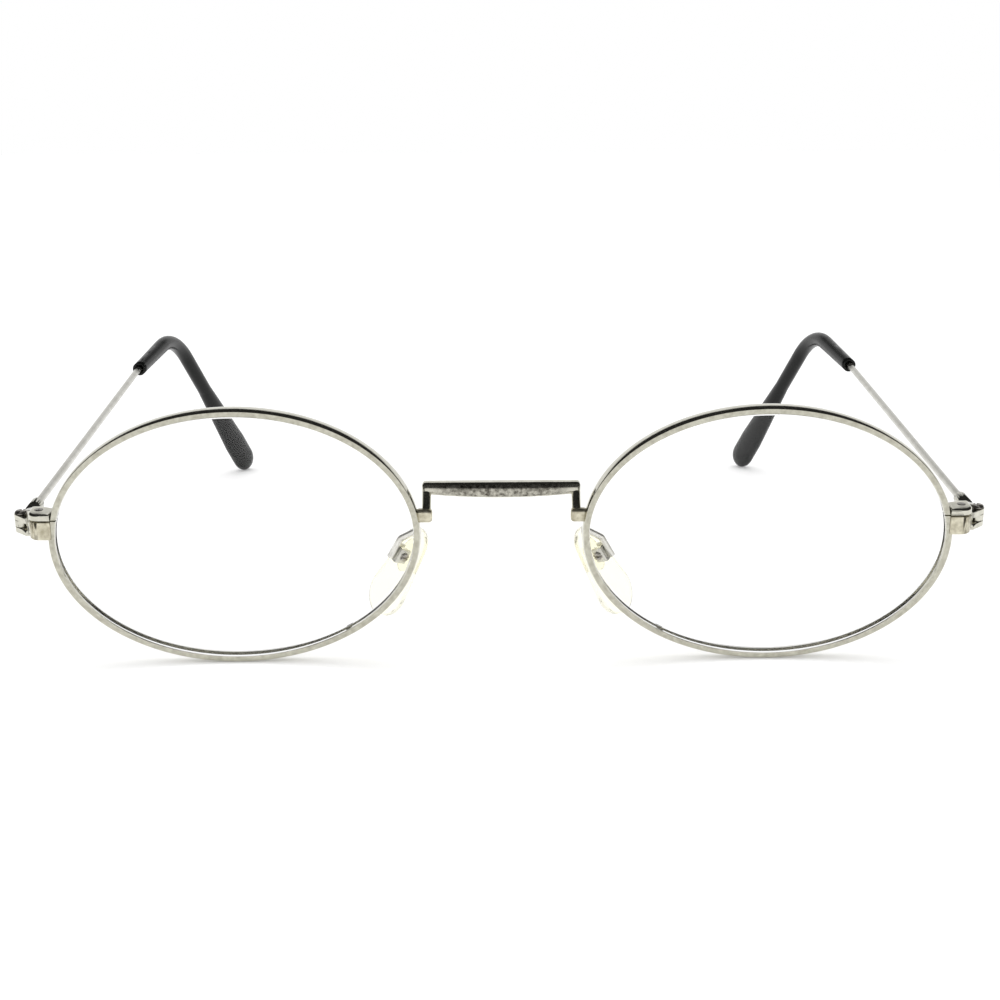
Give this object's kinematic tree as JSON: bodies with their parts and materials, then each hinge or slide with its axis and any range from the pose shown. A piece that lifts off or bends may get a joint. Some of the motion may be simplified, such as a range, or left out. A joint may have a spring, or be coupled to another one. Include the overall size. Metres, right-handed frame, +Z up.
{
  "type": "eyeglasses",
  "caption": "Oval wire eyeglasses with clear lenses, adjustable soft nose pads, folding wire temples and curved black temple tips.",
  "frame": {"origin": "on the table, below the middle of the overall box, with the glasses standing open on the lower edges of the rims and the ends of the temple tips", "axes": "+X to the wearer's left, -Y forward, away from the wearer's face, +Z up"},
  "size_m": [0.1296, 0.1332, 0.0351],
  "materials": {
    "plated_metal": "polished nickel plating on wire",
    "screw_steel": "turned steel",
    "clear_lens": "clear polished plastic",
    "soft_pad": "clear, slightly yellow soft plastic",
    "stiff_core": "clear stiff plastic",
    "black_tip": "glossy black plastic"
  },
  "bodies": {
    "front": {"bridge": "plated_metal", "left_rim": "plated_metal", "left_lens": "clear_lens", "left_closing_block": "plated_metal", "left_endpiece": "plated_metal", "left_rim_screw": "screw_steel", "left_hinge_screw": "screw_steel", "left_pad_arm": "plated_metal", "left_pad_box": "plated_metal", "left_pad_screw": "screw_steel", "right_rim": "plated_metal", "right_lens": "clear_lens", "right_closing_block": "plated_metal", "right_endpiece": "plated_metal", "right_rim_screw": "screw_steel", "right_hinge_screw": "screw_steel", "right_pad_arm": "plated_metal", "right_pad_box": "plated_metal", "right_pad_screw": "screw_steel"},
    "left_temple_body": {"left_temple_hinge": "plated_metal", "left_temple": "plated_metal", "left_temple_tip": "black_tip"},
    "right_temple_body": {"right_temple_hinge": "plated_metal", "right_temple": "plated_metal", "right_temple_tip": "black_tip"},
    "left_pad_body": {"left_nose_pad": "soft_pad", "left_pad_core": "stiff_core"},
    "right_pad_body": {"right_nose_pad": "soft_pad", "right_pad_core": "stiff_core"}
  },
  "joints": [
    {"name": "left_temple_fold", "type": "hinge", "parent": "front", "child": "left_temple_body", "pos_m": [0.0639, -0.05586, 0.0181], "axis": [0, -0.1478, 0.989], "range_deg": [0, 84]},
    {"name": "right_temple_fold", "type": "hinge", "parent": "front", "child": "right_temple_body", "pos_m": [-0.0639, -0.05586, 0.0181], "axis": [0, 0.1478, -0.989], "range_deg": [0, 75]},
    {"name": "left_pad_rock", "type": "hinge", "parent": "front", "child": "left_pad_body", "pos_m": [0.01342, -0.05658, 0.01375], "axis": [-0.5017, -0.7691, -0.3961], "range_deg": [-8, 8]},
    {"name": "right_pad_rock", "type": "hinge", "parent": "front", "child": "right_pad_body", "pos_m": [-0.01342, -0.05658, 0.01375], "axis": [-0.5017, 0.7691, 0.3961], "range_deg": [-8, 8]}
  ]
}
